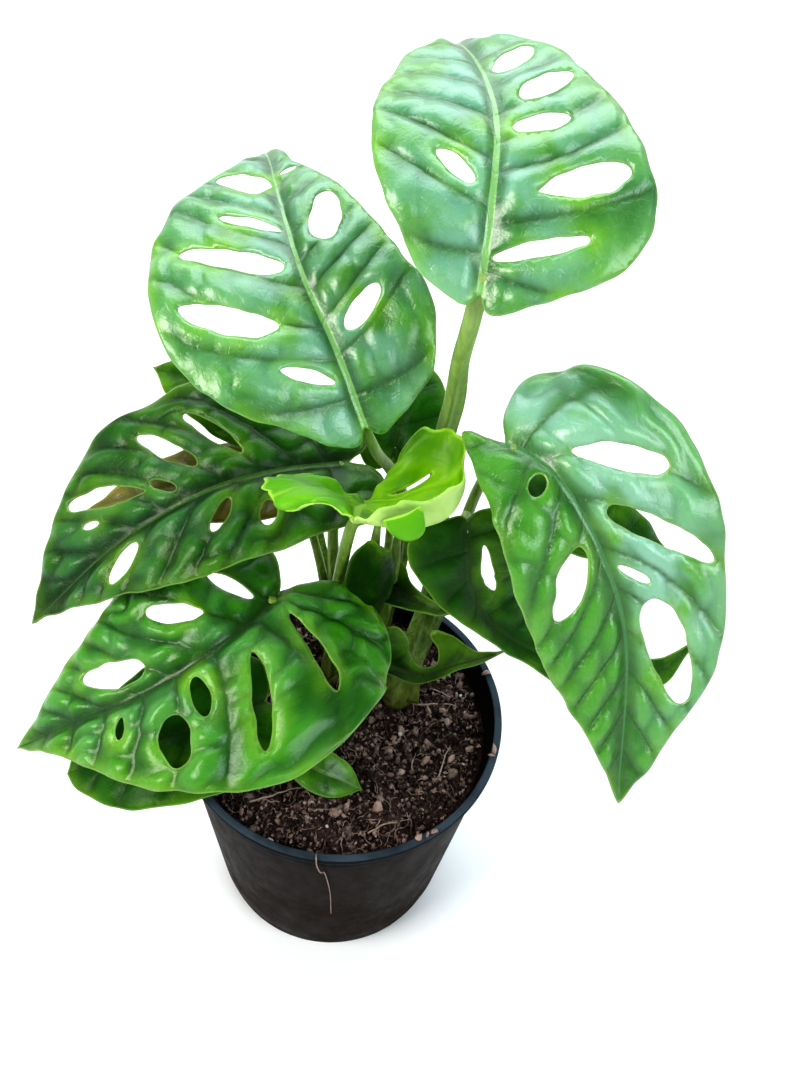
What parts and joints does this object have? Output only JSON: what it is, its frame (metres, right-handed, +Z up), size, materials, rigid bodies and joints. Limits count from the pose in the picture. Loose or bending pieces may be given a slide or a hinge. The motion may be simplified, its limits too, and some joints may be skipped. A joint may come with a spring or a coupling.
{
  "type": "potted plant",
  "caption": "Young climbing houseplant with heart-shaped, holed leaves on slender stalks, standing in the soil of a round tapered nursery pot",
  "frame": {"origin": "centre of the pot's flat base, on the surface it stands on", "axes": "+Z up along the pot's axis; -Y is the front, the side with the drip-tipped leaves that faced the camera; +X is the viewer's right"},
  "size_m": [0.2342, 0.1861, 0.3284],
  "materials": {
    "pot_black_plastic": "satin black moulded plastic, dusty and lightly scuffed",
    "soil_brown": null,
    "leaf_green": null,
    "leaf_dark_green": null,
    "leaf_ageing_yellow": null,
    "leaf_young_lime": null,
    "stalk_green": null
  },
  "bodies": {
    "root": {"pot": "pot_black_plastic", "soil": "soil_brown", "shoot_right": "stalk_green", "shoot_young": "stalk_green", "shoot_back": "stalk_green", "shoot_left": "stalk_green", "shoot_front": "stalk_green", "leaf_top_right": "leaf_green", "leaf_top_left": "leaf_green", "leaf_right": "leaf_green", "leaf_left_front": "leaf_green", "leaf_left_back": "leaf_green", "leaf_right_low": "leaf_green", "leaf_low_front": "leaf_green", "leaf_low_left": "leaf_green", "leaf_right_shaded": "leaf_dark_green", "leaf_centre_dark": "leaf_dark_green", "leaf_over_soil": "leaf_dark_green", "leaf_back": "leaf_dark_green", "leaf_back_left": "leaf_dark_green", "leaf_ageing": "leaf_ageing_yellow", "leaf_young": "leaf_young_lime"}
  },
  "joints": []
}
